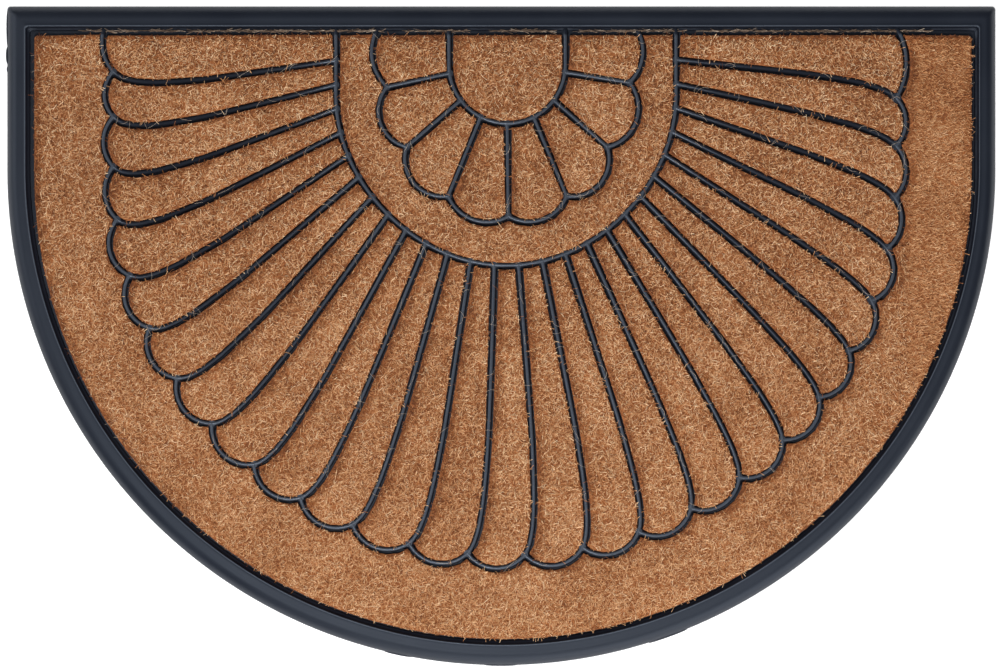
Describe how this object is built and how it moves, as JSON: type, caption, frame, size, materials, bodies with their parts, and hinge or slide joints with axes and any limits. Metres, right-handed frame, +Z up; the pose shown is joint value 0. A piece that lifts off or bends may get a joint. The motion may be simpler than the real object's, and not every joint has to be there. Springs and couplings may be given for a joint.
{
  "type": "half-round coir doormat",
  "caption": "Half-round doormat: a black rubber moulding with a raised rim and thin ribs that draw a scalloped fan, and a pad of brush coir in each pocket.",
  "frame": {"origin": "on the floor under the middle of the mat's bounding box", "axes": "+X along the straight edge, +Y from the round edge towards the straight edge, +Z up out of the pile"},
  "size_m": [0.9144, 0.6096, 0.0125],
  "materials": {
    "rubber": "black moulded rubber, satin, a little glossier on the rim's edge and the rib crests",
    "coir": "natural golden-brown brush coir, matt, short bristles in all directions"
  },
  "bodies": {
    "root": {"rubber_base": "rubber", "coir_field": "coir", "coir_petal_01": "coir", "coir_petal_02": "coir", "coir_petal_03": "coir", "coir_petal_04": "coir", "coir_petal_05": "coir", "coir_petal_06": "coir", "coir_petal_07": "coir", "coir_petal_08": "coir", "coir_petal_09": "coir", "coir_petal_10": "coir", "coir_petal_11": "coir", "coir_petal_12": "coir", "coir_petal_13": "coir", "coir_petal_14": "coir", "coir_petal_15": "coir", "coir_petal_16": "coir", "coir_petal_17": "coir", "coir_petal_18": "coir", "coir_petal_19": "coir", "coir_petal_20": "coir", "coir_petal_21": "coir", "coir_petal_22": "coir", "coir_petal_23": "coir", "coir_petal_24": "coir", "coir_petal_25": "coir", "coir_petal_26": "coir", "coir_petal_27": "coir", "coir_ring": "coir", "coir_flower_1": "coir", "coir_flower_2": "coir", "coir_flower_3": "coir", "coir_flower_4": "coir", "coir_flower_5": "coir", "coir_flower_6": "coir", "coir_flower_7": "coir", "coir_flower_8": "coir", "coir_centre": "coir"}
  },
  "joints": []
}
